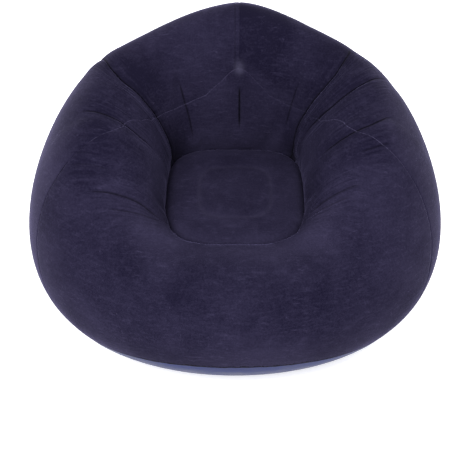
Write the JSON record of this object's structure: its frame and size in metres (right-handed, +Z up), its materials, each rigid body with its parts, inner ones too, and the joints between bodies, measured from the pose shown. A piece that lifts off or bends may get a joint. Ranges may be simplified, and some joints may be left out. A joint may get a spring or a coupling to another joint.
{
  "type": "inflatable bean bag chair",
  "caption": "Inflatable flocked lounge chair with a deep seat well, high rounded back, broad arms, a vinyl base and a two-part air valve on the back.",
  "frame": {"origin": "on the floor, under the middle of the chair's bounding box", "axes": "+Z up; -Y is the way a sitter faces, so the back is at +Y; +X is the right arm as the camera sees it from the front"},
  "size_m": [1.0684, 1.0388, 0.6715],
  "materials": {
    "flocked_vinyl": "dark indigo flock on vinyl, short nap, suede-like",
    "base_vinyl": "smooth blue-grey vinyl sheet, satin",
    "band_vinyl": "unflocked inner vinyl sheet",
    "valve_vinyl": "soft moulded vinyl, satin"
  },
  "bodies": {
    "chair": {"inner_panel": "flocked_vinyl", "left_side_panel": "flocked_vinyl", "right_side_panel": "flocked_vinyl", "seat_panel": "flocked_vinyl", "base_sheet": "base_vinyl", "outer_band": "band_vinyl", "middle_band": "band_vinyl", "valve_flange": "valve_vinyl", "plug_strap": "valve_vinyl"},
    "plug": {"deflation_plug": "valve_vinyl"},
    "cap": {"inflation_cap": "valve_vinyl"},
    "flap": {"check_flap": "valve_vinyl"}
  },
  "joints": [
    {"name": "plug_pull", "type": "slide", "parent": "chair", "child": "plug", "axis": [0.2764, 0.961, 0], "range_m": [0, 0.035], "deforming": ["plug_strap"]},
    {"name": "cap_lift", "type": "hinge", "parent": "plug", "child": "cap", "pos_m": [0.09793, 0.51129, 0.30429], "axis": [0.961, -0.2764, 0], "range_deg": [0, 120]},
    {"name": "flap_swing", "type": "hinge", "parent": "plug", "child": "flap", "pos_m": [0.09038, 0.48505, 0.29279], "axis": [-0.961, 0.2764, 0], "range_deg": [0, 60]}
  ]
}
